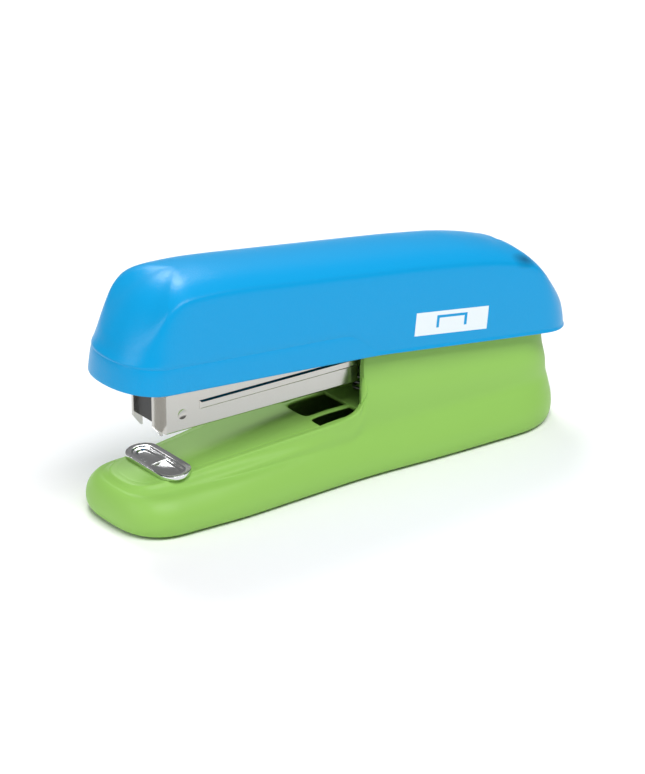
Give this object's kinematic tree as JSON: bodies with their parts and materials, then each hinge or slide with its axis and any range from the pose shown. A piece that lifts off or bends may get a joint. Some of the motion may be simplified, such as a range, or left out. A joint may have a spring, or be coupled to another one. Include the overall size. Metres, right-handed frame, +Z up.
{
  "type": "stapler",
  "caption": "Half-strip desk stapler with a moulded cover and base, a steel magazine with a sprung pusher, and one rear hinge pin.",
  "frame": {"origin": "centre of the footprint, at desk level", "axes": "+X from the nose to the hinge end, +Y across, +Z up"},
  "size_m": [0.1284, 0.034, 0.0586],
  "materials": {
    "blue_plastic": "fine spark-eroded texture",
    "green_plastic": "satin moulded",
    "dark_plastic": "satin moulded",
    "nickel_steel": "bright nickel plated",
    "chrome": "polished",
    "zinc_steel": "zinc plated",
    "spring_steel": "oiled",
    "rubber": "matte"
  },
  "bodies": {
    "base": {"base_shell": "green_plastic", "base_cover": "dark_plastic", "base_cover_screws": "zinc_steel", "rubber_feet": "rubber", "anvil_plate": "chrome", "hinge_bracket": "zinc_steel", "bracket_screws": "zinc_steel", "hinge_pin": "zinc_steel", "return_spring": "spring_steel"},
    "magazine": {"magazine_channel": "nickel_steel", "inner_rail": "zinc_steel", "rail_rivets": "zinc_steel", "nose_guide": "dark_plastic", "guide_rod": "zinc_steel", "spring_seat": "dark_plastic", "pusher_spring": "spring_steel", "cover_spring": "spring_steel"},
    "pusher": {"pusher": "dark_plastic"},
    "cover": {"cover_shell": "blue_plastic", "cover_screws": "zinc_steel", "handle_plate": "zinc_steel", "driver_blade": "spring_steel", "blade_rivets": "zinc_steel"}
  },
  "joints": [
    {"name": "magazine_hinge", "type": "hinge", "parent": "base", "child": "magazine", "pos_m": [0.05, 0, 0.024], "axis": [0, 1, 0], "range_deg": [-4.4, 0], "stiffness_Nm_per_rad": 1, "springref_deg": 6.88, "deforming": ["return_spring"]},
    {"name": "cover_hinge", "type": "hinge", "parent": "magazine", "child": "cover", "pos_m": [0.05, 0, 0.024], "axis": [0, 1, 0], "range_deg": [-4.6, 32], "stiffness_Nm_per_rad": 0.6, "springref_deg": 1.72, "deforming": ["cover_spring"]},
    {"name": "pusher_slide", "type": "slide", "parent": "magazine", "child": "pusher", "axis": [1, 0, 0], "range_m": [0, 0.048], "stiffness_N_per_m": 30, "springref_m": -0.03, "deforming": ["pusher_spring"]}
  ]
}
